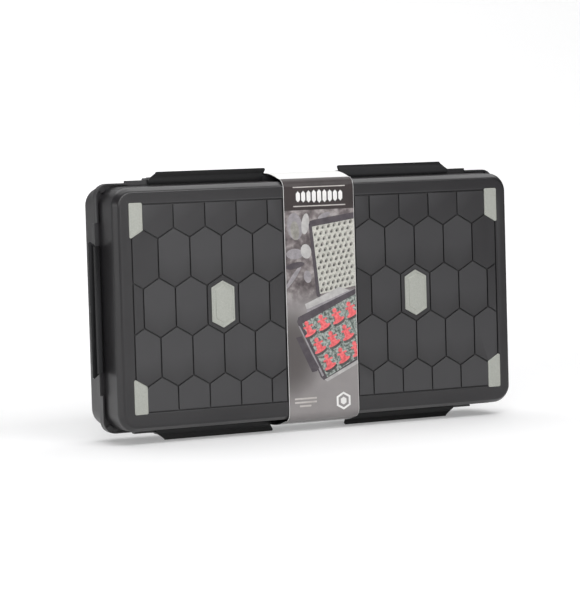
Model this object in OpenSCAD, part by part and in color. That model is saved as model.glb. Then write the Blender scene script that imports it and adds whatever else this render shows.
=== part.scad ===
// Hard carry case for gaming miniatures, standing on its long edge.
// X runs along the case, Y through its thickness with the lid towards -Y, and Z up.
// The parting plane of the two shells is Y = 0, and the case stands on Z = 0.

/* [Shells] */
// Length over the shell walls
shell_w = 417; // [380:1:450]
// Height over the shell walls
shell_h = 226.5; // [200:0.5:245]
// Thickness of the closed case, front face to rear face
case_t = 80; // [70:1:100]
// Thickness of the moulded walls
wall = 2.6; // [2:0.1:3.5]
// Corner radius of the walls
corner_r = 18; // [15:1:22]
// Width of the sloped edge round each face
edge_w = 4.8; // [3:0.1:6]
// Depth of the sloped edge round each face
edge_d = 7; // [4:0.5:9]
// Reach of the soft roundings on that edge
edge_soft = 2; // [0.5:0.5:2.5]
// How far each wall leans in from the rim to the face
draft = 0.8; // [0:0.1:1.5]

/* [Rim] */
// How far the rim stands out from the walls at the corners
rim_out = 2.75; // [2.5:0.25:6]
// Further step of the rim where the latches sit
rim_step = 2; // [1:0.5:3]
// Thickness of one shell's rim
rim_t = 3.4; // [2.5:0.1:5]
// Corner radius of the rim
rim_r = 12; // [10:1:18]
// Length of the stepped rim on the long edges
step_long = 360; // [330:2:370]
// Length of the stepped rim on the short edges
step_short = 160; // [140:2:180]
// Radius of the locating pins in the rim corners
locator_r = 1.5; // [1:0.1:2]

/* [Hexagon pattern] */
// Width of one hexagon, flat to flat
hex_w = 32; // [28:1:36]
// Height of a hexagon's upright sides
hex_side = 36.3; // [30:0.1:40]
// Rise of a hexagon's sloped sides
hex_rise = 9.4; // [8:0.1:11]
// Half length of the patterned field
field_x = 192; // [186:1:194]
// Half height of the patterned field
field_z = 95.7; // [90:0.1:98]
// Half width of the plain band in the middle
plain_x = 38; // [30:1:45]
// Width of the grooves
groove_w = 1.4; // [1.2:0.1:3]
// How far the pattern sits above the middle of the shells
pattern_lift = 1; // [0:0.5:2]
// Depth of the grooves
groove_d = 1.2; // [0.5:0.1:1.5]

/* [Silver inlays] */
// How far the inlays stand above the face
inlay_proud = 0.6; // [0.2:0.1:0.8]
// Depth of the pockets that hold the corner inlays
inlay_pocket = 1.2; // [0.8:0.1:1.4]
// Gap between an inlay and its pocket
inlay_gap = 0.1; // [0.05:0.05:0.3]
// Width of a corner inlay
corner_inlay_w = 13.4; // [11:0.1:15]
// Half width of a centre inlay
badge_x = 11.7; // [10:0.1:14]
// Half height of a centre inlay's upright sides
badge_side = 15.6; // [12:0.1:18]
// Half height of a centre inlay
badge_z = 22; // [19:0.1:24]

/* [Latches] */
// Length of each latch
latch_l = 118; // [100:1:124]
// Distance of the long edges' latches from the middle of the case
latch_x = 100.5; // [99.5:0.5:110]
// How far a latch's finger lip stands out from the rim
lip_reach = 7.5; // [6:0.5:10]
// Thickness of the latch plates
plate_t = 2; // [1.5:0.1:2.5]
// Running gap between a latch and the rim
latch_gap = 0.4; // [0.3:0.1:0.8]
// Distance of the hinge pins behind the parting plane
hinge_y = 9.5; // [9:0.1:12]
// Radius of the hinge pins
pin_r = 1.5; // [1.2:0.1:2]
// Running clearance of the latches on their pins, on the radius
pin_play = 0.05; // [0.03:0.01:0.1]
// Radius of the hinge knuckles
knuckle_r = 3.2; // [3:0.1:4]
// Length of each hinge lug on the base
lug_l = 6; // [5:0.5:9]

/* [Seal and foam] */
// Width of the seal cord
seal_w = 2.2; // [1.5:0.1:3]
// Depth of the seal's groove
seal_d = 1.8; // [1.2:0.1:2.5]
// Thickness of each foam pad
foam_t = 24; // [15:1:28]
// Gap between the foam and the walls
foam_gap = 0.5; // [0.2:0.1:1.5]

/* [Card sleeve] */
// Width of the card sleeve
sleeve_w = 74; // [60:1:76]
// Thickness of the card
card_t = 0.6; // [0.4:0.1:0.8]
// Gap between the card and the case
card_gap = 0.3; // [0.2:0.1:0.8]
// Radius of the sleeve's soft folds
fold_r = 9; // [5:0.5:9]
// How far the sleeve stands off the shells' long walls
sleeve_ease = 1; // [0.5:0.5:2]
// How far the sleeve arches clear of the rim
sleeve_bow = 1.5; // [0.5:0.5:3]

/* [Hidden] */
$fn = 64;
EPS = 0.01;

BLACK = [0.10, 0.10, 0.11];
SILVER = [0.70, 0.71, 0.68];
STEEL = [0.55, 0.56, 0.58];
FOAM = [0.42, 0.44, 0.43];
RUBBER = [0.05, 0.05, 0.05];
CARD_PRINT = [0.20, 0.17, 0.16];
CARD_WHITE = [0.90, 0.90, 0.88];

half_t = case_t / 2;
rim_w = shell_w + 2 * rim_out;
rim_h = shell_h + 2 * rim_out;
edge_x = rim_w / 2 + rim_step;
edge_z = rim_h / 2 + rim_step;
centre_z = edge_z + lip_reach;
hex_pitch_z = hex_side + hex_rise;
locator_x = shell_w / 2 - 3.6;
locator_z = shell_h / 2 - 2.6;
cavity_w = shell_w - 2 * (wall + draft);
cavity_h = shell_h - 2 * (wall + draft);
cavity_r = corner_r - wall;
seal_mid_w = (cavity_w + rim_w) / 2;
seal_mid_h = (cavity_h + rim_h) / 2;
seal_mid_r = corner_r + (seal_mid_w - shell_w) / 2;
bead_w = 1.5;
bead_h = 1.5;
badge_cx = field_x - 10 - 2.5 * hex_w;
axis_out = -1.2;
plate_top = latch_gap + plate_t;
hook_gap = 0.7;
hook_t = 1.7;
hook_drop = 4;
// Where an end of a knuckle stands off its neighbour
knuckle_gap = 0.3;
lip_spread = 3;
side_lip_spread = 4.5;
lip_slant = 8;

// ---- Helpers ----

// Rounded rectangle, centred, as exact arcs and straight sides
module rounded_rect(w, h, r) {
    square([w - 2 * r, h], center = true);
    square([w, h - 2 * r], center = true);
    for (sx = [-1, 1], sz = [-1, 1])
        translate([sx * (w / 2 - r), sz * (h / 2 - r)])
            circle(r);
}

// Turns a flat drawing of X and Z into a plate from y0 to y1
module plate_xz(y0, y1) {
    translate([0, y1, 0])
        rotate([90, 0, 0])
            linear_extrude(y1 - y0)
                children();
}

// The same for the drawings on the shells' faces, which sit a little above the middle
module face_plate(y0, y1) {
    translate([0, 0, pattern_lift])
        plate_xz(y0, y1)
            children();
}

// Half of a cross-section, mirrored to a whole one of half width w
function whole_section(w, profile) = concat(
    [for (p = profile) [w + p[0], p[1]]],
    [for (i = [len(profile) - 1:-1:0]) [-w - profile[i][0], profile[i][1]]]
);

// Point between a and b, a share t of the way
function between(a, b, t) = a + t * (b - a);

// Smooth curve from near a past corner b to near c, leaving the sides at the given reach
function soft_corner(a, b, c, reach) =
    let (p = between(b, a, reach / norm(a - b)), q = between(b, c, reach / norm(c - b)))
    [for (t = [0:0.25:1]) between(between(p, b, t), between(b, q, t), t)];

// Edge of a shell from its face to the open side: flat face, slope and wall, softly rounded
function shell_edge(slope_w, slope_d, lean, face, open) =
    let (
        start = [-slope_w - 2 * edge_soft, face],
        low = [-slope_w, face],
        high = [-lean, face + slope_d],
        end = [0, open]
    ) concat(
        [start],
        soft_corner(start, low, high, edge_soft),
        soft_corner(low, high, end, edge_soft),
        [end]
    );

// Solid rounded rectangle whose edge follows a profile of [outward offset, y] points
module profiled_slab(w, h, r, profile) {
    last = len(profile) - 1;
    linear_extrude(h - 2 * r, center = true)
        polygon(whole_section(w / 2, profile));
    rotate([0, 90, 0])
        linear_extrude(w - 2 * r, center = true)
            polygon(whole_section(h / 2, profile));
    for (sx = [-1, 1], sz = [-1, 1])
        translate([sx * (w / 2 - r), 0, sz * (h / 2 - r)])
            rotate([-90, 0, 0])
                rotate_extrude()
                    polygon(concat(
                        [[0, profile[0][1]]],
                        [for (p = profile) [r + p[0], p[1]]],
                        [[0, profile[last][1]]]
                    ));
}

// Outline of one hexagon of the pattern, drawn in by d on every side
function hexagon(x, z, d) =
    let (
        half = hex_w / 2 - d,
        slope = hex_rise / (hex_w / 2),
        peak = hex_side / 2 + hex_rise - d * sqrt(1 + slope * slope),
        shoulder = peak - half * slope
    ) [
        [x, z + peak], [x + half, z + shoulder], [x + half, z - shoulder],
        [x, z - peak], [x - half, z - shoulder], [x - half, z + shoulder]
    ];

// ---- Shells ----

// One shell's skin without its pattern: lid towards -Y, open at Y = 0
module plain_shell() {
    difference() {
        union() {
            profiled_slab(shell_w, shell_h, corner_r, shell_edge(edge_w, edge_d, draft, -half_t, 0));
            plate_xz(-rim_t, 0) {
                rounded_rect(rim_w, rim_h, rim_r);
                square([step_long, rim_h + 2 * rim_step], center = true);
                square([rim_w + 2 * rim_step, step_short], center = true);
            }
        }
        profiled_slab(cavity_w, cavity_h, cavity_r, [
            [-edge_w, wall - half_t],
            [0, wall - half_t + edge_d],
            [0, EPS]
        ]);
    }
}

// The tiles of one half of the pattern, on the side given by s
module pattern_tiles(s) {
    first = field_x - 10;
    intersection() {
        translate([s * (field_x + plain_x) / 2, 0])
            square([field_x - plain_x - groove_w, 2 * field_z - groove_w], center = true);
        union()
            for (row = [-2:2], k = [-1:5]) {
                shift = (row % 2 == 0) ? hex_w / 2 : 0;
                polygon(hexagon(s * (first - shift - hex_w * k), row * hex_pitch_z, groove_w / 2));
            }
    }
}

// Grooves between the tiles, cut from the face at Y = -half_t
module pattern_grooves() {
    face_plate(-half_t - EPS, groove_d - half_t)
        for (s = [-1, 1])
            difference() {
                translate([s * (field_x + plain_x) / 2, 0])
                    square([field_x - plain_x + groove_w, 2 * field_z + groove_w], center = true);
                pattern_tiles(s);
            }
}

// Pockets for the two centre inlays
module badge_pockets() {
    face_plate(-half_t - EPS, inlay_pocket - half_t)
        for (s = [-1, 1])
            polygon(badge_outline(s * badge_cx, -inlay_gap));
}

// Outline of a corner inlay in the +X +Z corner: its lower side follows the slope of the hexagons
module corner_inlay_outline(grow) {
    outer = field_x + 2;
    top = field_z + 1.7;
    inner = outer - corner_inlay_w;
    slope = hex_rise / (hex_w / 2);
    low = hex_pitch_z + hex_side / 2 + hex_rise - 1.5;
    soft = 1.6;
    offset(r = soft + grow)
        offset(delta = -soft)
            polygon([[outer, top], [inner, top], [inner, low], [outer, low - slope * corner_inlay_w]]);
}

// The same outline, grown by a margin, at the corner given by its two signs
module corner_outline_at(sx, sz, grow) {
    mirror([(sx > 0) ? 0 : 1, 0])
        mirror([0, (sz > 0) ? 0 : 1])
            corner_inlay_outline(grow);
}

// Holes for the locating pins, through both rims
module locator_places() {
    for (sx = [-1, 1], sz = [-1, 1])
        translate([sx * locator_x, 0, sz * locator_z])
            rotate([-90, 0, 0])
                children();
}

// Raised edge round each corner of the lid's rim, with a boss round each locating pin
module corner_beads() {
    plate_xz(-rim_t - bead_h, -rim_t) {
        intersection() {
            difference() {
                rounded_rect(rim_w, rim_h, rim_r);
                rounded_rect(rim_w - 2 * bead_w, rim_h - 2 * bead_w, rim_r - bead_w);
            }
            for (sx = [-1, 1], sz = [-1, 1])
                translate([sx * (rim_w + step_long) / 4, sz * (rim_h + step_short) / 4])
                    square([(rim_w - step_long) / 2, (rim_h - step_short) / 2], center = true);
        }
        for (sx = [-1, 1], sz = [-1, 1])
            translate([sx * locator_x, sz * locator_z])
                circle(locator_r + 1.3);
    }
}

// Stands the upright drawing on the floor
module standing() {
    translate([0, 0, centre_z])
        children();
}

module lid_shell() {
    color(BLACK)
        standing()
            difference() {
                union() {
                    plain_shell();
                    corner_beads();
                }
                pattern_grooves();
                badge_pockets();
                for (sx = [-1, 1], sz = [-1, 1])
                    face_plate(-half_t - EPS, inlay_pocket - half_t)
                        corner_outline_at(sx, sz, inlay_gap);
                locator_places()
                    translate([0, 0, -rim_t - 1])
                        cylinder(h = rim_t + 2, r = locator_r + 0.1);
            }
}

module base_shell() {
    color(BLACK) {
        standing()
            difference() {
                mirror([0, 1, 0])
                    difference() {
                        plain_shell();
                        pattern_grooves();
                    }
                plate_xz(-EPS, seal_d)
                    seal_outline();
                locator_places()
                    translate([0, 0, -1])
                        cylinder(h = rim_t + 2, r = locator_r);
            }
        for (i = [0:5])
            at_latch(i)
                hinge_lugs();
    }
}

// Ring of the seal cord, midway across the face where the shells meet
module seal_outline() {
    difference() {
        rounded_rect(seal_mid_w + seal_w, seal_mid_h + seal_w, seal_mid_r + seal_w / 2);
        rounded_rect(seal_mid_w - seal_w, seal_mid_h - seal_w, seal_mid_r - seal_w / 2);
    }
}

module rim_seal() {
    color(RUBBER)
        standing()
            plate_xz(0, seal_d)
                seal_outline();
}

// Four locating pins, fixed in the base's rim and passing through the lid's
module rim_locators() {
    color(BLACK)
        standing()
            locator_places()
                translate([0, 0, -rim_t])
                    cylinder(h = 2 * rim_t, r = locator_r);
}

// ---- Foam ----

module foam_pad() {
    floor_y = wall - half_t;
    profiled_slab(cavity_w - 2 * foam_gap, cavity_h - 2 * foam_gap, cavity_r - foam_gap, [
        [-edge_w, floor_y],
        [0, floor_y + edge_d],
        [0, floor_y + foam_t]
    ]);
}

module foam_pad_lid() {
    color(FOAM)
        standing()
            foam_pad();
}

module foam_pad_base() {
    color(FOAM)
        standing()
            mirror([0, 1, 0])
                foam_pad();
}

// ---- Inlays ----

module corner_inlay(sx, sz) {
    color(SILVER)
        standing()
            face_plate(-half_t - inlay_proud, inlay_pocket - half_t)
                corner_outline_at(sx, sz, 0);
}

module corner_inlay_top_left() {
    corner_inlay(-1, 1);
}

module corner_inlay_top_right() {
    corner_inlay(1, 1);
}

module corner_inlay_bottom_left() {
    corner_inlay(-1, -1);
}

module corner_inlay_bottom_right() {
    corner_inlay(1, -1);
}

// Long hexagonal plate, drawn in by d on every side
function badge_outline(x, d) =
    let (
        slope = (badge_z - badge_side) / badge_x,
        half = badge_x - d,
        peak = badge_z - d * sqrt(1 + slope * slope),
        side = peak - half * slope
    ) [[x, peak], [x + half, side], [x + half, -side], [x, -peak], [x - half, -side], [x - half, side]];

// Centre inlay: a plate with a raised rim and a plain raised lozenge
module centre_inlay(s) {
    rim = 1.8;
    dish = 0.5;
    color(SILVER)
        standing()
            difference() {
                face_plate(-half_t - inlay_proud, inlay_pocket - half_t)
                    polygon(badge_outline(s * badge_cx, 0));
                face_plate(-half_t - inlay_proud - EPS, dish - half_t - inlay_proud)
                    difference() {
                        polygon(badge_outline(s * badge_cx, rim));
                        polygon(badge_outline(s * badge_cx, 2.5 * rim));
                    }
            }
}

module centre_inlay_left() {
    centre_inlay(-1);
}

module centre_inlay_right() {
    centre_inlay(1);
}

// ---- Latches ----
// A latch is drawn with x along the rim, y as in the case, and z outward from the stepped rim.

// Places its children at latch i: top left, top right, bottom left, bottom right, side left, side right
module at_latch(i) {
    turn = [0, 0, 180, 180, -90, 90][i];
    along = [-latch_x, latch_x, latch_x, -latch_x, 0, 0][i];
    out = (i < 4) ? edge_z : edge_x;
    standing()
        rotate([0, turn, 0])
            translate([along, 0, out])
                children();
}

// Bar along x, from x0 to x1, of a flat outline of y and z
module bar(x0, x1) {
    translate([x0, 0, 0])
        rotate([90, 0, 90])
            linear_extrude(x1 - x0)
                children();
}

// Cross-section of the latch plate and hook, back to the line y = rear
module plate_section(rear) {
    face = -rim_t - hook_gap;
    polygon([
        [rear, latch_gap], [face, latch_gap], [face, -hook_drop],
        [face - hook_t * 0.6, -hook_drop], [face - hook_t, -hook_drop + 0.8],
        [face - hook_t - 0.4, 0], [face - hook_t, 2.8],
        [face - hook_t + 1.6, 4.2], [face + 1.1, plate_top], [rear, plate_top]
    ]);
}

// Cross-section of the finger lip, a thin blade
module lip_section() {
    front = -rim_t - hook_gap - hook_t;
    foot = 1;
    blade = 1.6;
    polygon([
        [front + 0.2, foot], [front - 0.4, lip_reach - 0.5], [front, lip_reach],
        [front + blade - 0.8, lip_reach], [front + blade - 0.2, lip_reach - 0.5], [front + blade + 0.9, foot]
    ]);
}

// Front view of a latch: its lip's ends run out (positive) or in (negative) from the foot to the tip
module latch_front(end_a, end_b) {
    half = latch_l / 2;
    bottom = -hook_drop - knuckle_r;
    tip = lip_reach - 1.5;
    polygon([
        [-half, bottom], [-half, 0], [-half - end_a, tip], [1 - half - end_a, lip_reach],
        [half + end_b - 1, lip_reach], [half + end_b, tip], [half, 0], [half, bottom]
    ]);
}

// Latch body: plate, hook and lip trimmed to the front view, and the hinge knuckles
module latch(end_a, end_b) {
    half = latch_l / 2;
    end_lug = half - lug_l - 1 - knuckle_gap;
    mid_lug = lug_l / 2 + knuckle_gap;
    color(BLACK)
        difference() {
            union() {
                intersection() {
                    union() {
                        bar(-half, half)
                            plate_section(hinge_y - knuckle_r - 1);
                        bar(-half - max(end_a, 0), half + max(end_b, 0))
                            lip_section();
                    }
                    plate_xz(-half_t, half_t)
                        latch_front(end_a, end_b);
                }
                for (s = [0, 1])
                    mirror([s, 0, 0])
                        bar(mid_lug, end_lug) {
                            plate_section(hinge_y);
                            translate([hinge_y, axis_out])
                                circle(knuckle_r);
                            translate([hinge_y - knuckle_r, axis_out])
                                square([knuckle_r, plate_top - axis_out]);
                        }
            }
            bar(-half, half)
                translate([hinge_y, axis_out])
                    circle(pin_r + pin_play);
        }
}

// Lugs that carry one latch's pin, rooted in the wall
module hinge_lugs() {
    half = latch_l / 2;
    root = rim_step + rim_out + 1;
    for (x = [-half + 1, -lug_l / 2, half - lug_l - 1])
        difference() {
            bar(x, x + lug_l) {
                translate([hinge_y, axis_out])
                    circle(knuckle_r - 0.2);
                translate([hinge_y - knuckle_r + 0.2, -root])
                    square([2 * knuckle_r - 0.4, root + axis_out]);
            }
            bar(x - 1, x + lug_l + 1)
                translate([hinge_y, axis_out])
                    circle(pin_r);
        }
}

module hinge_pin(i) {
    half = latch_l / 2 - 1;
    color(STEEL)
        at_latch(i)
            bar(-half, half)
                translate([hinge_y, axis_out])
                    circle(pin_r);
}

module latch_top_left() {
    at_latch(0)
        latch(-lip_slant, lip_spread);
}

module latch_top_right() {
    at_latch(1)
        latch(lip_spread, -lip_slant);
}

module latch_bottom_left() {
    at_latch(2)
        latch(lip_spread, -lip_slant);
}

module latch_bottom_right() {
    at_latch(3)
        latch(-lip_slant, lip_spread);
}

module latch_side_left() {
    at_latch(4)
        latch(side_lip_spread, side_lip_spread);
}

module latch_side_right() {
    at_latch(5)
        latch(side_lip_spread, side_lip_spread);
}

module hinge_pin_top_left() {
    hinge_pin(0);
}

module hinge_pin_top_right() {
    hinge_pin(1);
}

module hinge_pin_bottom_left() {
    hinge_pin(2);
}

module hinge_pin_bottom_right() {
    hinge_pin(3);
}

module hinge_pin_side_left() {
    hinge_pin(4);
}

module hinge_pin_side_right() {
    hinge_pin(5);
}

// ---- Card sleeve ----

// Outline of the closed sleeve's front half in y and z, at distance d outside the case:
// a flat face, a round fold, and a panel that arches from the fold up over the rim
module sleeve_half_outline(d) {
    face = half_t + d;
    ridge = edge_z + sleeve_bow + d;
    side = shell_h / 2 + sleeve_ease + d;
    r = fold_r + d;
    spring = face - r;
    fold = [for (a = [0:10:90]) [-face + r - r * cos(a), side - r + r * sin(a)]];
    arch = [for (t = [0.125:0.125:1]) [spring * (t - 1), side + (ridge - side) * t * (2 - t)]];
    half = concat(fold, arch);
    polygon(concat(half, [for (i = [len(half) - 1:-1:0]) [half[i][0], -half[i][1]]]));
}

// Front half of the sleeve: face panel and the top and bottom panels up to the rim
module sleeve_half() {
    bar(-sleeve_w / 2, sleeve_w / 2)
        difference() {
            sleeve_half_outline(card_gap + card_t);
            sleeve_half_outline(card_gap);
        }
}

module sleeve_front() {
    color(CARD_PRINT)
        standing()
            sleeve_half();
}

module sleeve_back() {
    color(CARD_WHITE)
        standing()
            mirror([0, 1, 0])
                sleeve_half();
}

lid_shell();
base_shell();
rim_seal();
foam_pad_lid();
foam_pad_base();
rim_locators();
corner_inlay_top_left();
corner_inlay_top_right();
corner_inlay_bottom_left();
corner_inlay_bottom_right();
centre_inlay_left();
centre_inlay_right();
latch_top_left();
latch_top_right();
latch_bottom_left();
latch_bottom_right();
latch_side_left();
latch_side_right();
hinge_pin_top_left();
hinge_pin_top_right();
hinge_pin_bottom_left();
hinge_pin_bottom_right();
hinge_pin_side_left();
hinge_pin_side_right();
sleeve_front();
sleeve_back();
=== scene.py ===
"""Looks of the miniature carry case: finishes, foam, printed sleeve, floor, light and camera."""

import math

import bpy
from mathutils import Matrix, Vector
from mathutils.geometry import delaunay_2d_cdt


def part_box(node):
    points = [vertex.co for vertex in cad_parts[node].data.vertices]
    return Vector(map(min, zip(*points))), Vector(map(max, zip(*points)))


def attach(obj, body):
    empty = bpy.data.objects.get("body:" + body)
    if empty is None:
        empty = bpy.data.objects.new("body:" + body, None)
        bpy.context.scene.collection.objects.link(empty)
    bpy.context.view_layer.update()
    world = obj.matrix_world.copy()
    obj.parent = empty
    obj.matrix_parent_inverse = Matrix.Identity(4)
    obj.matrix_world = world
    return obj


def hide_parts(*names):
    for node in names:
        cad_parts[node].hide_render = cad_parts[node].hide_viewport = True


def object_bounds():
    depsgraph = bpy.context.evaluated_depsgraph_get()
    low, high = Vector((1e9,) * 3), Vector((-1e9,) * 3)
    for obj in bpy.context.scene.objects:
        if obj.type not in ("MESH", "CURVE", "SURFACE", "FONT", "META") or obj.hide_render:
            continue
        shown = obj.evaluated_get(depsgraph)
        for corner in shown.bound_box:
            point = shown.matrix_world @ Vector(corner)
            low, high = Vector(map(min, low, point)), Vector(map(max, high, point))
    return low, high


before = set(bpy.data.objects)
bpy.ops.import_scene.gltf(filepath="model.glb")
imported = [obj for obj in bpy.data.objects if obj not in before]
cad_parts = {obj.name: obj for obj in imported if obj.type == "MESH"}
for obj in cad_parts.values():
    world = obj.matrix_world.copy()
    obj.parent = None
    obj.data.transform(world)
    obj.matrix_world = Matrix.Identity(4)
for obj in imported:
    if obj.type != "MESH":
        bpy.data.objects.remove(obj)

CAD_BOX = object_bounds()
MM = 0.001

# ---------------------------------------------------------------- places read from the frame

LID_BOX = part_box("lid_shell")
SLEEVE_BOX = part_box("sleeve_front")
FOAM_LID_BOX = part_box("foam_pad_lid")
FOAM_BASE_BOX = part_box("foam_pad_base")
CENTRE = (CAD_BOX[0] + CAD_BOX[1]) / 2
LATCHES = [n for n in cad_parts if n.startswith("latch_")]
PINS = [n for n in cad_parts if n.startswith("hinge_pin_")]
INLAYS = [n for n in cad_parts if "inlay" in n]


# ---------------------------------------------------------------- node materials

class Nodes:
    """A node tree being built, with short calls for the nodes it uses."""

    def __init__(self, tree):
        self.tree = tree

    def node(self, kind, **settings):
        made = self.tree.nodes.new(kind)
        for key, value in settings.items():
            setattr(made, key, value)
        return made

    def link(self, source, target):
        self.tree.links.new(source, target)
        return target

    def place(self):
        """Coordinates in the object's own space: at rest, the part's frame in metres."""
        return self.node("ShaderNodeTexCoord").outputs["Object"]

    def noise(self, scale, detail=4.0, rough=0.5):
        made = self.node("ShaderNodeTexNoise")
        made.inputs["Scale"].default_value = scale
        made.inputs["Detail"].default_value = detail
        made.inputs["Roughness"].default_value = rough
        self.link(self.place(), made.inputs["Vector"])
        return made.outputs["Fac"]

    def cells(self, scale, feature="F1"):
        made = self.node("ShaderNodeTexVoronoi", feature=feature)
        made.inputs["Scale"].default_value = scale
        self.link(self.place(), made.inputs["Vector"])
        return made.outputs["Distance"]

    def ramp(self, value, *stops):
        """stops are (place, value or colour)."""
        made = self.node("ShaderNodeValToRGB")
        ramp = made.color_ramp
        while len(ramp.elements) < len(stops):
            ramp.elements.new(0.5)
        for element, (place, colour) in zip(ramp.elements, stops):
            element.position = place
            element.color = colour if isinstance(colour, tuple) else (colour, colour, colour, 1)
        self.link(value, made.inputs["Fac"])
        return made.outputs["Color"]

    def step(self, value, low, high):
        """0 at low, 1 at high and smooth between; high may be the lesser."""
        made = self.node("ShaderNodeMapRange", interpolation_type="SMOOTHSTEP")
        self.link(value, made.inputs["Value"])
        made.inputs["From Min"].default_value = low
        made.inputs["From Max"].default_value = high
        return made.outputs["Result"]

    def mix(self, share, a, b):
        made = self.node("ShaderNodeMix", data_type="RGBA")
        for socket, value in ((made.inputs["Factor"], share), (made.inputs["A"], a), (made.inputs["B"], b)):
            if isinstance(value, (tuple, float, int)):
                socket.default_value = value
            else:
                self.link(value, socket)
        return made.outputs["Result"]

    def math(self, operation, a, b=0.0):
        made = self.node("ShaderNodeMath", operation=operation)
        for socket, value in zip(made.inputs, (a, b)):
            if isinstance(value, (float, int)):
                socket.default_value = value
            else:
                self.link(value, socket)
        return made.outputs["Value"]

    def bump(self, height, strength, distance, under=None):
        made = self.node("ShaderNodeBump")
        made.inputs["Strength"].default_value = strength
        made.inputs["Distance"].default_value = distance
        self.link(height, made.inputs["Height"])
        if under is not None:
            self.link(under, made.inputs["Normal"])
        return made.outputs["Normal"]


class Shader(Nodes):
    """A new material and the inputs of its surface."""

    def __init__(self, name):
        self.material = bpy.data.materials.new(name)
        self.material.use_nodes = True
        super().__init__(self.material.node_tree)
        self.surface = self.tree.nodes["Principled BSDF"]

    def set(self, **values):
        for key, value in values.items():
            self.surface.inputs[key.replace("_", " ")].default_value = value

    def feed(self, **values):
        """Links nodes' outputs to the surface's inputs."""
        for key, value in values.items():
            self.link(value, self.surface.inputs[key.replace("_", " ")])


def rgba(r, g, b):
    return (r, g, b, 1.0)


def moulded_plastic(name, dark, light, rough, shine, grain, grain_depth):
    """Satin moulded plastic: fine grain, faint flow clouds, painted shade in its nooks and paler rubbed
    edges.
    """
    s = Shader(name)
    clouds = s.noise(14.0, 3.0)
    body = s.mix(s.ramp(clouds, (0.35, 0.0), (0.7, 1.0)), rgba(*dark), rgba(*light))
    edge = s.node("ShaderNodeNewGeometry").outputs["Pointiness"]
    rubbed = s.math("MULTIPLY", s.ramp(edge, (0.52, 0.0), (0.6, 1.0)), 0.25)
    worn = s.mix(rubbed, body, rgba(0.11, 0.11, 0.115))
    # Painted shade: occlusion darkens the colour and the shine in grooves and nooks, where less light falls.
    nook = s.node("ShaderNodeAmbientOcclusion", samples=6, only_local=True)
    nook.inputs["Distance"].default_value = 3 * MM
    clear_of_painted_shade = s.ramp(nook.outputs["AO"], (0.2, 0.1), (0.6, 1.0))
    s.feed(Base_Color=s.mix(clear_of_painted_shade, rgba(0.006, 0.006, 0.006), worn))
    s.feed(Specular_IOR_Level=s.math("MULTIPLY", clear_of_painted_shade, shine))
    patchy = s.ramp(s.noise(18.0, 1.0), (0.35, rough - 0.02), (0.65, rough + 0.03))
    s.feed(Roughness=patchy)
    fine = s.bump(s.noise(grain, 2.0), 0.5, grain_depth)
    waves = s.bump(s.noise(9.0, 1.0), 0.12, 0.0004, fine)
    s.feed(Normal=waves)
    return s.material


def silver_plastic():
    """Satin silver-grey inlay, flat and slightly warm, with fine flecks."""
    s = Shader("silver_plastic")
    flecks = s.ramp(s.noise(2600.0, 2.0), (0.4, 0.0), (0.62, 1.0))
    s.feed(Base_Color=s.mix(flecks, rgba(0.36, 0.37, 0.335), rgba(0.47, 0.48, 0.44)))
    s.feed(Roughness=s.ramp(s.noise(70.0, 4.0), (0.3, 0.36), (0.7, 0.46)))
    s.feed(Normal=s.bump(s.noise(1800.0, 2.0), 0.25, 0.00003))
    s.set(Metallic=0.35)
    return s.material


def drawn_steel():
    """Bright wire with fine lines round it."""
    s = Shader("pin_steel")
    s.feed(Base_Color=s.mix(s.noise(900.0, 3.0), rgba(0.42, 0.43, 0.44), rgba(0.62, 0.62, 0.63)))
    s.feed(Normal=s.bump(s.noise(2500.0, 1.0), 0.2, 0.00002))
    s.set(Metallic=1.0, Roughness=0.32)
    return s.material


def seal_rubber():
    s = Shader("seal_rubber")
    s.feed(Base_Color=s.mix(s.noise(400.0, 3.0), rgba(0.012, 0.012, 0.012), rgba(0.03, 0.03, 0.03)))
    s.feed(Normal=s.bump(s.cells(1500.0), 0.4, 0.00008))
    s.set(Roughness=0.85)
    return s.material


def foam():
    """Open-cell foam: fine pores between paler walls, in a soft mottle."""
    s = Shader("foam")
    pores = s.cells(1400.0, "DISTANCE_TO_EDGE")
    wall = s.ramp(pores, (0.0, 1.0), (0.18, 0.0))
    body = s.mix(s.noise(45.0, 4.0), rgba(0.40, 0.42, 0.38), rgba(0.56, 0.58, 0.53))
    s.feed(Base_Color=s.mix(s.math("MULTIPLY", wall, 0.35), body, rgba(0.72, 0.74, 0.69)))
    rough = s.bump(wall, 0.9, 0.0003)
    s.feed(Normal=s.bump(s.noise(300.0, 4.0), 0.5, 0.0006, rough))
    s.set(Roughness=0.95, Sheen_Weight=0.3)
    return s.material


# ---------------------------------------------------------------- CAD pieces

# Degrees: faces this close to one plane are joined, and edges sharper than this are softened
FLAT_ANGLE, SOFT_ANGLE = 0.5, 28.0
# Weight of the weighted normals that favours large faces most
BY_AREA = 100


def dress(node, material, round_mm):
    """Gives a CAD node its finish and softens its moulded edges, without touching its own mesh."""
    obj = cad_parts[node]
    obj.data.materials.clear()
    obj.data.materials.append(material)
    weld = obj.modifiers.new("weld", "WELD")
    weld.merge_threshold = 0.01 * MM
    flat = obj.modifiers.new("flat", "DECIMATE")
    flat.decimate_type = "DISSOLVE"
    flat.angle_limit = math.radians(FLAT_ANGLE)
    soft = obj.modifiers.new("soft", "BEVEL")
    soft.width = round_mm * MM
    soft.segments = 3
    soft.limit_method = "ANGLE"
    soft.angle_limit = math.radians(SOFT_ANGLE)
    for polygon in obj.data.polygons:
        polygon.use_smooth = True
    normals = obj.modifiers.new("normals", "WEIGHTED_NORMAL")
    normals.weight = BY_AREA


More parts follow.
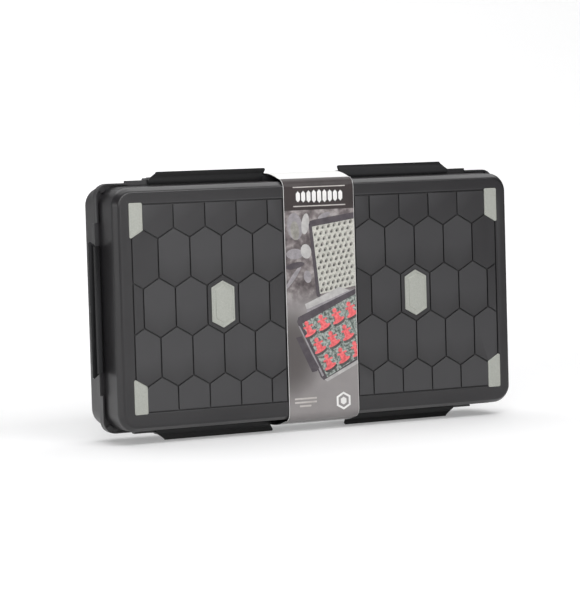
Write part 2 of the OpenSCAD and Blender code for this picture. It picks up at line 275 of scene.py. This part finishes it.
SHELL_DARK, SHELL_LIGHT = (0.0165, 0.0155, 0.017), (0.0215, 0.0205, 0.022)
LATCH_DARK, LATCH_LIGHT = (0.007, 0.007, 0.0075), (0.01, 0.01, 0.0105)
SHELL_PLASTIC = moulded_plastic("shell_plastic", SHELL_DARK, SHELL_LIGHT, 0.31, 0.5, 2600.0, 0.00006)
LATCH_PLASTIC = moulded_plastic("latch_plastic", LATCH_DARK, LATCH_LIGHT, 0.24, 0.22, 3200.0, 0.00003)
SILVER = silver_plastic()
STEEL = drawn_steel()

# CAD nodes, their finish and the radius of their softened edges in millimetres
FINISHES = [
    (("lid_shell", "base_shell"), SHELL_PLASTIC, 0.4), (("rim_locators",), SHELL_PLASTIC, 0.2),
    (LATCHES, LATCH_PLASTIC, 0.3), (PINS, STEEL, 0.2), (INLAYS, SILVER, 0.55),
    (("rim_seal",), seal_rubber(), 0.3)
]
for nodes, finish, round_mm in FINISHES:
    for name in nodes:
        dress(name, finish, round_mm)


# ---------------------------------------------------------------- foam

def mesh_object(name, verts, faces, materials):
    """New smooth-shaded object in the scene."""
    mesh = bpy.data.meshes.new(name)
    mesh.from_pydata(verts, [], faces)
    for material in materials:
        mesh.materials.append(material)
    for polygon in mesh.polygons:
        polygon.use_smooth = True
    obj = bpy.data.objects.new(name, mesh)
    bpy.context.scene.collection.objects.link(obj)
    return obj


def rounded_half_height(x, half_w, half_h, radius):
    """Half height of a rounded rectangle at the given distance from its middle."""
    past = abs(x) - (half_w - radius)
    if past <= 0:
        return half_h
    return half_h - radius + math.sqrt(max(radius * radius - past * past, 0.0))


def foam_block(name, box, towards, across, up, height):
    """Closed foam block in a shell: flat back with a sloped edge, and a sculpted front.

    towards is +1 or -1, the side of Y its front faces; across and up are rows of places from -1 to 1;
    height(x, z) is the front's height over the back, for x and z from the block's middle.
    """
    low, high = box
    middle = (low + high) / 2
    half_w, half_h = (high.x - low.x) / 2, (high.z - low.z) / 2
    back = low.y if towards > 0 else high.y
    columns, rows = len(across), len(up)

    def layer(inset, depth):
        radius = FOAM_CORNER - inset
        for u in across:
            x = u * (half_w - inset)
            reach = rounded_half_height(x, half_w - inset, half_h - inset, radius)
            for v in up:
                z = v * reach
                y = depth if depth is not None else height(x, z)
                yield (middle.x + x, back + towards * y, middle.z + z)

    ring = [(i, 0) for i in range(columns)] + [(columns - 1, j) for j in range(1, rows)]
    ring += [(i, rows - 1) for i in range(columns - 2, -1, -1)] + [(0, j) for j in range(rows - 2, 0, -1)]
    back_layer = list(layer(FOAM_SLOPE[0], 0.0))
    side_layer = list(layer(0.0, FOAM_SLOPE[1]))
    front_layer = list(layer(0.0, None))
    count = columns * rows
    verts = back_layer + [side_layer[i * rows + j] for i, j in ring] + front_layer
    front = count + len(ring)
    faces = []
    for i in range(columns - 1):
        for j in range(rows - 1):
            a, b = i * rows + j, (i + 1) * rows + j
            faces.append((a, a + 1, b + 1, b))
            faces.append((front + a, front + b, front + b + 1, front + a + 1))
    for k, (i, j) in enumerate(ring):
        following = (k + 1) % len(ring)
        ni, nj = ring[following]
        here, there = i * rows + j, ni * rows + nj
        faces.append((here, there, count + following, count + k))
        faces.append((count + k, count + following, front + there, front + here))
    if towards > 0:
        faces = [face[::-1] for face in faces]
    return mesh_object(name, verts, faces, [FOAM])


def even(count):
    return [2 * i / count - 1 for i in range(count + 1)]


def crate_height(x, z):
    """Egg-crate foam: rounded peaks and hollows on a diagonal grid."""
    turn = math.pi / CRATE_PITCH
    wave = math.cos(turn * (x + z)) * math.cos(turn * (x - z))
    return FOAM_T - CRATE_DEPTH * (0.5 - 0.5 * wave)


def peg_stations(length, pitch):
    """Places across a field of foam pegs, close together at each slit, from -1 to 1."""
    pegs = round(length / pitch)
    offsets = (0.0, 0.035, 0.1, 0.26, 0.5, 0.74, 0.9, 0.965)
    places = [2 * (i + offset) / pegs - 1 for i in range(pegs) for offset in offsets]
    return places + [1.0], length / pegs


def peg_side(distance, pitch):
    """Height lost towards a slit: a rounded shoulder, then the slit itself."""
    near = abs((distance / pitch + 0.5) % 1.0 - 0.5) * pitch
    if near < 0.6 * MM:
        return PEG_SLIT
    shoulder = max(0.0, 1.0 - near / (3.2 * MM))
    return 1.6 * MM * shoulder * shoulder


def peg_foam(name, box, towards):
    """Foam cut in pegs, with a few rows of pegs plucked out as beds for miniatures."""
    low, high = box
    width, depth = high.x - low.x, high.z - low.z
    across, pitch_x = peg_stations(width, PEG_PITCH)
    up, pitch_z = peg_stations(depth, PEG_PITCH)

    def height(x, z):
        column = math.floor((x + width / 2) / pitch_x)
        row = math.floor((z + depth / 2) / pitch_z)
        bed = column % 4 in (1, 2) and row % 5 in (1, 2, 3) and 0 < column < round(width / pitch_x) - 1
        lost = max(peg_side(x + width / 2, pitch_x), peg_side(z + depth / 2, pitch_z))
        return FOAM_T - (PEG_BED if bed else lost)

    return foam_block(name, box, towards, across, up, height)


FOAM = foam()
FOAM_T = FOAM_LID_BOX[1].y - FOAM_LID_BOX[0].y
FOAM_CORNER = 14.9 * MM
FOAM_SLOPE = (4.8 * MM, 7 * MM)
CRATE_PITCH = 24 * MM
CRATE_DEPTH = 12 * MM
CRATE_STEPS = (132, 72)
PEG_PITCH = 15.5 * MM
PEG_SLIT = 12 * MM
PEG_BED = 16 * MM

crate_places = [even(count) for count in CRATE_STEPS]
lid_foam = foam_block("lid_foam_eggcrate", FOAM_LID_BOX, 1, *crate_places, crate_height)
base_foam = peg_foam("base_foam_pegs", FOAM_BASE_BOX, -1)
for piece, body, node in ((lid_foam, "lid", "foam_pad_lid"), (base_foam, "base", "foam_pad_base")):
    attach(piece, body)
    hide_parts(node)


# ---------------------------------------------------------------- card sleeve
# The print is laid out flat in millimetres: x to the right and s up the card from the middle of its face.

PRINT_ROUGH = 0.42


def ink(name, dark, light, scale=160.0):
    """Print under a satin laminate: two close tones in a fine mottle, with a very slight paper waviness."""
    s = Shader(name)
    mottle = s.ramp(s.noise(scale, 4.0, 0.6), (0.38, 0.0), (0.62, 1.0))
    s.feed(Base_Color=s.mix(mottle, rgba(*dark), rgba(*light)))
    s.feed(Normal=s.bump(s.noise(30.0, 2.0), 0.15, 0.0003))
    s.set(Roughness=PRINT_ROUGH)
    return s.material


def ink_backdrop():
    """Behind the pictured case: warm grey blotches above, then a plain ground with a soft shadow."""
    s = Shader("ink_backdrop")
    parts = s.node("ShaderNodeSeparateXYZ")
    s.link(s.place(), parts.inputs[0])
    across, up = parts.outputs["X"], s.math("SUBTRACT", parts.outputs["Z"], CENTRE.z)
    tone = s.math("MULTIPLY", s.noise(75.0, 3.0, 0.55), 0.75)
    tone = s.math("ADD", tone, s.math("MULTIPLY", s.noise(190.0, 4.0, 0.7), 0.25))
    blotches = s.ramp(tone, (0.38, rgba(0.06, 0.047, 0.05)), (0.5, rgba(0.16, 0.136, 0.138)),
                      (0.62, rgba(0.36, 0.33, 0.325)))
    beside = s.math("DIVIDE", s.math("ADD", across, 0.035), 0.04)
    along = s.math("DIVIDE", s.math("ADD", up, 0.05), 0.05)
    far = s.math("ADD", s.math("MULTIPLY", beside, beside), s.math("MULTIPLY", along, along))
    shade = s.math("MULTIPLY", s.step(far, 1.0, 0.05), 0.85)
    ground = s.mix(s.noise(60.0, 3.0), rgba(0.24, 0.225, 0.225), rgba(0.31, 0.29, 0.287))
    ground = s.mix(shade, ground, rgba(0.06, 0.051, 0.05))
    s.feed(Base_Color=s.mix(s.step(up, 0.016, -0.014), blotches, ground))
    s.set(Roughness=PRINT_ROUGH)
    return s.material


def card_white():
    """Coated white board with a faint fibre grain."""
    s = Shader("card_white")
    s.feed(Base_Color=s.mix(s.noise(900.0, 4.0), rgba(0.78, 0.78, 0.77), rgba(0.86, 0.86, 0.85)))
    s.feed(Normal=s.bump(s.noise(1400.0, 3.0), 0.2, 0.00003))
    s.set(Roughness=0.55)
    return s.material


def card_path(face, side, ridge, radius):
    """Outer line of half a sleeve, from the middle of its face up round the fold and over the arch to the
    rim: (length, y, z), in metres."""
    line = [(face, 0.0), (face, side - radius)]
    for i in range(1, FOLD_STEPS + 1):
        turn = math.radians(90 * i / FOLD_STEPS)
        line.append((face + radius - radius * math.cos(turn), side - radius + radius * math.sin(turn)))
    for i in range(1, FOLD_STEPS + 1):
        t = i / FOLD_STEPS
        line.append(((face + radius) * (1 - t), side + (ridge - side) * t * (2 - t)))
    stations, length = [(0.0,) + line[0]], 0.0
    for (y0, z0), (y1, z1) in zip(line, line[1:]):
        length += math.hypot(y1 - y0, z1 - z0)
        stations.append((length, y1, z1))
    return stations


def on_card(stations, x, s, back):
    """Point of the flat layout (x, s), in metres, on the folded card of the front or the back."""
    length = min(abs(s), stations[-1][0])
    for (l0, y0, z0), (l1, y1, z1) in zip(stations, stations[1:]):
        if length <= l1 + 1e-9:
            share = (length - l0) / (l1 - l0)
            y, z = y0 + (y1 - y0) * share, z0 + (z1 - z0) * share
            break
    z = CENTRE.z + math.copysign(z, s)
    return (-x, -y, z) if back else (x, y, z)


def printed_card(name, stations, regions, back):
    """Folded card as one sheet: its face is divided along the print's outlines, then thickened."""
    half, length = SLEEVE_W / 2, stations[-1][0] / MM
    inks = sorted(set(material.name for material, _ in regions) - {CARD_WHITE.name})
    order = [bpy.data.materials[n] for n in inks] + [CARD_WHITE]
    verts, edges = [], []
    for outline in [box_outline(-half, half, -length, length)] + [outline for _, outline in regions]:
        first, count = len(verts), len(outline)
        edges += [(first + i, first + (i + 1) % count) for i in range(count)]
        verts += [Vector(point) for point in outline]
    for station in stations[:-1]:
        for side in (-1, 1):
            edges.append((len(verts), len(verts) + 1))
            verts += [Vector((-half, side * station[0] / MM)), Vector((half, side * station[0] / MM))]
    flat, _, parts, _, _, _ = delaunay_2d_cdt(verts, edges, [], 0, 1e-4)
    points = [on_card(stations, p.x * MM, p.y * MM, back) for p in flat]
    card = mesh_object(name, points, parts, order)
    for polygon, part in zip(card.data.polygons, parts):
        x, s = (sum(flat[i][axis] for i in part) / len(part) for axis in (0, 1))
        hits = (material for material, outline in reversed(regions) if covers(outline, x, s))
        polygon.material_index = order.index(next(hits, CARD_WHITE))
    thick = card.modifiers.new("thickness", "SOLIDIFY")
    thick.thickness = CARD_T
    thick.offset = -1
    thick.material_offset = thick.material_offset_rim = len(order)
    normals = card.modifiers.new("normals", "WEIGHTED_NORMAL")
    normals.weight = BY_AREA
    return card


def box_outline(x0, x1, s0, s1):
    return [(x0, s0), (x1, s0), (x1, s1), (x0, s1)]


def long_hexagon(x, s, half_w, half_h, rise):
    return [(x, s - half_h), (x + half_w, s - half_h + rise), (x + half_w, s + half_h - rise),
            (x, s + half_h), (x - half_w, s + half_h - rise), (x - half_w, s - half_h + rise)]


def inside(corners, u, v):
    """Point at shares u (left to right) and v (bottom to top) of a four-cornered area."""
    (ax, ay), (bx, by), (cx, cy), (dx, dy) = corners
    low = (ax + (bx - ax) * u, ay + (by - ay) * u)
    high = (dx + (cx - dx) * u, dy + (cy - dy) * u)
    return (low[0] + (high[0] - low[0]) * v, low[1] + (high[1] - low[1]) * v)


def blot(x, s, along, across, turn, steps=12):
    """Ellipse about (x, s) with its long axis turned, in degrees."""
    c, n = math.cos(math.radians(turn)), math.sin(math.radians(turn))
    ring = [(along * math.cos(2 * math.pi * i / steps), across * math.sin(2 * math.pi * i / steps))
            for i in range(steps)]
    return [(x + c * p - n * q, s + n * p + c * q) for p, q in ring]


def turned(x, s, turn, outline):
    c, n = math.cos(math.radians(turn)), math.sin(math.radians(turn))
    return [(x + c * p - n * q, s + n * p + c * q) for p, q in outline]


def pawn(x, s):
    """Plain playing piece lying on the foam: round foot with its shadow, cone, arm and head."""
    lean = 27
    yield INK_DEEP, blot(x + 3.6, s - 6.6, 7.0, 2.4, lean)
    yield INK_RED, blot(x + 2.6, s - 4.8, 6.8, 2.0, lean)
    yield INK_RED, turned(x + 2.4, s - 4.2, lean, [(-3.6, -0.6), (3.6, -0.6), (2.2, 7.5), (-2.2, 7.5)])
    yield INK_RED, turned(x + 1.2, s - 0.4, lean, [(-5.2, 2.2), (5.4, 1.0), (5.0, 2.8), (-4.8, 4.2)])
    yield INK_RED, blot(x - 1.6, s + 4.9, 2.3, 2.3, 0)


def pictured_case():
    """The sleeve's picture: the open case, its lid leaning back, with red playing pieces on the foam."""
    edge = LIMIT
    lid_foam_area = [(-1.5, 5), (edge, 11), (edge, 75), (-8, 69)]
    base_foam_area = [(3.5, -74.6), (edge, -58), (edge, 3.4), (-21, -22)]
    yield INK_FRAME, [(-5, 3), (-1.5, 1.5), (0, 7), (edge, 12), (edge, 81),
                      (-6, 75.5), (-10, 74.5), (-11.5, 71)]
    yield INK_FOAM, lid_foam_area
    for row in range(12):
        for column in range(7):
            x, s = inside(lid_foam_area, (column + 0.35 + 0.5 * (row % 2)) / 7.6, (row + 0.5) / 12)
            yield INK_SHADE, blot(x + 0.7, s + 0.6, 2.3, 1.6, 60, 8)
            yield INK_DEEP, blot(x, s, 1.35, 0.95, 60, 6)
    yield INK_PALE, [(-17.6, -3.8), (-15.7, -9.6), (30, 7), (20, 10.8)]
    yield INK_SILVER, [(-15.9, -8.9), (-15.7, -13), (edge, 8.2), (30, 7)]
    yield INK_FRAME, [(-26.5, -20), (-3, -74), (0, -77), (4, -76), (edge, -61), (edge, 8.2),
                      (-19, -13.2), (-25, -15.8)]
    yield INK_MOSS, base_foam_area
    for row in range(3):
        for column in range(4):
            x, s = -15 + 15 * column + 10 * row, -27 + 5.3 * column - 16.3 * row
            if x < edge:
                yield from pawn(x, s)
    yield INK_PALE, [(1, -76.5), (4, -78.5), (edge, -63.5), (edge, -60)]
    yield INK_SILVER, [(-25.2, -24), (-23.6, -24.4), (0.4, -72.6), (-1.4, -73.6)]
    yield INK_FRAME, [(-28, -35), (-22, -34), (-4.5, -65), (-7, -68), (-12, -68.7)]


def within(outline, limit):
    """Keeps an outline inside the card's printed width."""
    return [(max(-limit, min(limit, x)), s) for x, s in outline]


def covers(outline, x, s):
    """Whether the point (x, s) lies inside the outline."""
    found = False
    for (x0, s0), (x1, s1) in zip(outline, outline[1:] + outline[:1]):
        if (s0 > s) != (s1 > s) and x < x0 + (s - s0) * (x1 - x0) / (s1 - s0):
            found = not found
    return found


def title_row(middle):
    """Row of plain hexagons, lower towards its ends, where a title would be."""
    for i in range(-4, 5):
        yield INK_WHITE, long_hexagon(middle + 5.6 * i, 97.7, 2.1, 6.4 - 0.3 * abs(i), 2.2)


def front_print():
    edge, fold = LIMIT, 118.5
    yield INK_BACKDROP, box_outline(-edge, edge, -128, 86)
    for x, s, along, across, turn, tone in SCENE_BLOTS:
        yield tone, blot(x, s, along, across, turn, 16)
    yield INK_HEADER, box_outline(-edge, edge, 85, fold)
    yield INK_LINE, box_outline(-27, 28, 106.2, 107.2)
    yield INK_LINE, box_outline(-27, 28, 88.2, 89.2)
    yield from title_row(0.5)
    yield from pictured_case()
    for s, x0, x1 in ((-93.2, -31, -8), (-96.7, -31, -8), (-100.2, -26, -14)):
        yield INK_LINE, box_outline(x0, x1, s - 0.8, s + 0.8)
    yield INK_WHITE, long_hexagon(20.5, -98, 7.4, 8.6, 4.2)
    yield INK_BACKDROP, long_hexagon(20.5, -98, 5.4, 6.4, 3.1)
    yield INK_WHITE, long_hexagon(20.5, -98, 3.0, 3.7, 1.8)


def back_print():
    edge = LIMIT
    yield INK_HEADER, box_outline(-edge, edge, -118, 118)
    yield INK_FRAME, box_outline(-edge + 5, edge - 5, -80, 80)
    yield from title_row(0.0)
    for i in range(9):
        yield INK_LINE, box_outline(-25, 25 if i % 4 < 3 else 4, 60 - 9 * i, 62 - 9 * i)
    yield INK_WHITE, box_outline(-25, -2, -66, -46)
    yield INK_WHITE, long_hexagon(16, -56, 7.4, 8.6, 4.2)


INK_HEADER = ink("ink_header", (0.024, 0.017, 0.017), (0.036, 0.026, 0.026), 40.0)
INK_FRAME = ink("ink_frame", (0.055, 0.045, 0.055), (0.08, 0.068, 0.078))
INK_DEEP = ink("ink_deep", (0.05, 0.045, 0.045), (0.1, 0.1, 0.095))
INK_SHADE = ink("ink_shade", (0.22, 0.21, 0.19), (0.34, 0.33, 0.3))
INK_FOAM = ink("ink_foam", (0.42, 0.42, 0.38), (0.6, 0.59, 0.54), 700.0)
INK_MOSS = ink("ink_moss", (0.07, 0.09, 0.08), (0.4, 0.44, 0.41), 420.0)
INK_PALE = ink("ink_pale", (0.4, 0.39, 0.385), (0.5, 0.49, 0.48))
INK_SILVER = ink("ink_silver", (0.24, 0.225, 0.24), (0.33, 0.31, 0.325))
INK_RED = ink("ink_red", (0.66, 0.09, 0.1), (0.88, 0.18, 0.19), 420.0)
INK_LINE = ink("ink_line", (0.45, 0.42, 0.4), (0.56, 0.53, 0.51))
INK_WHITE = ink("ink_white", (0.78, 0.77, 0.76), (0.86, 0.85, 0.84))
INK_BACKDROP = ink_backdrop()
CARD_WHITE = card_white()

SLEEVE_W = (SLEEVE_BOX[1].x - SLEEVE_BOX[0].x) / MM
CARD_T = 0.6 * MM
CARD_SIDE = 115.15 * MM
CARD_FOLD = 9.9 * MM
FOLD_STEPS = 8
SCENE_BLOTS = [
    (-26, 70, 8, 13, 8, INK_SILVER), (-26, 66, 4.5, 9, 5, INK_SHADE), (-15, 72, 4, 10, -8, INK_PALE),
    (-27, 44, 9, 5, 0, INK_SILVER), (-15, 46, 5.5, 7, 15, INK_PALE), (-29, 22, 14, 2.2, 52, INK_SILVER),
    (-14, 22, 4, 6, 10, INK_SILVER), (5, 79, 7, 2.4, 20, INK_SILVER), (-27, 33, 10, 3, 10, INK_FRAME)
]

PATH = card_path(SLEEVE_BOX[0].y, CARD_SIDE, SLEEVE_BOX[1].z - CENTRE.z, CARD_FOLD)
LIMIT = SLEEVE_W / 2 - 0.35
for name, art, back in (("sleeve_front", front_print, False), ("sleeve_back", back_print, True)):
    regions = [(tone, within(outline, LIMIT)) for tone, outline in art()]
    card = printed_card(name + "_card", PATH, regions, back)
    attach(card, name)
    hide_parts(name)


# ---------------------------------------------------------------- stage, light and camera

def stage_floor():
    """Plain pale sweep: a floor that curves up into a backdrop far behind the case.

    It glows a little to the camera, most where it is far; near the case it glows in mirrorings too, as a
    painted reflection.
    """
    reach, front, back, rise, radius, steps = 6.0, -1.2, 3.0, 4.0, 1.5, 16
    line = [(front, 0.0), (back - radius, 0.0)]
    line += [(back - radius + radius * math.sin(a), radius - radius * math.cos(a))
             for a in (math.radians(90 * i / steps) for i in range(1, steps + 1))]
    line.append((back, rise))
    verts = [(x, y, z) for y, z in line for x in (-reach, reach)]
    faces = [(2 * i, 2 * i + 1, 2 * i + 3, 2 * i + 2) for i in range(len(line) - 1)]
    s = Shader("sweep")
    s.set(Base_Color=rgba(0.74, 0.74, 0.745), Roughness=0.8, Emission_Color=rgba(1.0, 1.0, 1.0))
    parts = s.node("ShaderNodeSeparateXYZ")
    s.link(s.place(), parts.inputs[0])
    near = s.step(parts.outputs["Y"], *FLOOR_NEARING)
    level = s.math("SUBTRACT", FLOOR_GLOW, s.math("MULTIPLY", near, FLOOR_GLOW_LOST))
    # Painted reflection: near the case the floor glows to glossy rays only, so the case mirrors a brighter
    # floor.
    painted_reflection = s.math("MULTIPLY", near, FLOOR_PAINTED_REFLECTION)
    ray = s.node("ShaderNodeLightPath")
    direct = s.math("MULTIPLY", ray.outputs["Is Camera Ray"], level)
    strength = s.math("ADD", direct, s.math("MULTIPLY", ray.outputs["Is Glossy Ray"], painted_reflection))
    s.feed(Emission_Strength=strength)
    mesh_object("sweep", verts, faces, [s.material])


def area_light(name, place, target, size, power):
    data = bpy.data.lights.new(name, "AREA")
    data.shape = "RECTANGLE"
    data.size, data.size_y = size
    data.energy = power
    obj = bpy.data.objects.new(name, data)
    obj.location = place
    obj.rotation_mode = "QUATERNION"
    obj.rotation_quaternion = (Vector(target) - Vector(place)).to_track_quat("-Z", "Y")
    bpy.context.scene.collection.objects.link(obj)


def stage_world():
    """Dim room with a bright strip low in front and another at the left; white to the camera."""
    world = bpy.data.worlds.new("world")
    bpy.context.scene.world = world
    world.use_nodes = True
    w = Nodes(world.node_tree)
    parts = w.node("ShaderNodeSeparateXYZ")
    w.link(w.node("ShaderNodeTexCoord").outputs["Generated"], parts.inputs[0])
    ahead = w.math("MULTIPLY", parts.outputs["Y"], -1.0)
    around = w.math("DEGREES", w.math("ARCTAN2", parts.outputs["X"], ahead))
    above = w.math("DEGREES", w.math("ARCSINE", parts.outputs["Z"]))
    beside = w.math("MULTIPLY", w.step(around, *STRIP_LEFT), w.step(around, *STRIP_RIGHT))
    level = w.math("MULTIPLY", w.step(above, *STRIP_FOOT), w.step(above, *STRIP_TOP))
    strip = w.math("MULTIPLY", w.math("MULTIPLY", beside, level), STRIP_STRENGTH)
    side = w.math("MULTIPLY", w.step(around, *SIDE_FRONT), w.step(around, *SIDE_BACK))
    side = w.math("MULTIPLY", w.math("MULTIPLY", side, level), SIDE_STRENGTH)
    strip = w.math("ADD", strip, side)
    sky = w.math("MULTIPLY", w.step(above, *SKY_RISE), SKY_STRENGTH)
    room = w.math("ADD", w.math("ADD", strip, sky), ROOM_STRENGTH)
    seen = w.node("ShaderNodeLightPath").outputs["Is Camera Ray"]
    strength = w.mix(seen, room, rgba(0.97, 0.97, 0.97))
    w.link(strength, w.tree.nodes["Background"].inputs["Strength"])
    w.tree.nodes["Background"].inputs["Color"].default_value = rgba(1.0, 1.0, 1.0)


def stage_light():
    stage_world()
    area_light("above_behind", (0.3, 0.85, 1.9), CENTRE, (3.0, 2.0), 31.0)
    area_light("above_front", (0.05, -1.5, 1.7), CENTRE, (2.0, 0.9), 30.0)
    area_light("left_front", (-1.3, -1.9, 1.1), CENTRE, (1.2, 1.4), 19.0)


def stage_camera():
    """Long lens, left of square to the lid and slightly above it, with a small roll."""
    around, above, roll = (math.radians(angle) for angle in VIEW_ANGLES)
    aim = Vector((VIEW_AIM[0], LID_BOX[0].y, CENTRE.z + VIEW_AIM[1]))
    right = Vector((math.cos(around), -math.sin(around), 0))
    ahead = Vector((math.sin(around) * math.cos(above), math.cos(around) * math.cos(above), -math.sin(above)))
    up = right.cross(ahead)
    side = right * math.cos(roll) + up * math.sin(roll)
    top = up * math.cos(roll) - right * math.sin(roll)
    data = bpy.data.cameras.new("camera")
    data.lens, data.sensor_width = VIEW_LENS, 36.0
    data.shift_x, data.shift_y = VIEW_SHIFT
    data.clip_start, data.clip_end = 0.05, 50.0
    obj = bpy.data.objects.new("camera", data)
    axes = Matrix((side, top, -ahead)).transposed().to_4x4()
    obj.matrix_world = Matrix.Translation(aim - ahead * VIEW_AWAY) @ axes
    bpy.context.scene.collection.objects.link(obj)
    bpy.context.scene.camera = obj


# Edges of the strips in degrees, each from dark to bright, and the world's strengths
STRIP_LEFT, STRIP_RIGHT = (-4.0, 6.0), (25.5, 19.0)
STRIP_FOOT, STRIP_TOP = (-16.0, -8.0), (18.0, 8.0)
SIDE_FRONT, SIDE_BACK, SKY_RISE = (-75.0, -88.0), (-125.0, -110.0), (15.0, 65.0)
STRIP_STRENGTH, SIDE_STRENGTH, SKY_STRENGTH, ROOM_STRENGTH = 2.3, 2.4, 0.15, 0.03

# The floor: where nearing the case starts and ends, its glow far off, the part of it lost near, and its
# painted reflection near
FLOOR_NEARING, FLOOR_GLOW, FLOOR_GLOW_LOST, FLOOR_PAINTED_REFLECTION = (1.6, 0.3), 0.7, 0.43, 0.25

# The camera: degrees round, above and rolled, then metres, and the aim across and above the case's middle
VIEW_ANGLES, VIEW_AWAY, VIEW_AIM = (25.99, 3.48, -1.65), 2.461, (-0.0272, 0.0148)
VIEW_LENS, VIEW_SHIFT = 156.95, (-0.0082, -0.0242)

stage_floor()
stage_light()
stage_camera()
bpy.context.scene.view_settings.view_transform = "Standard"
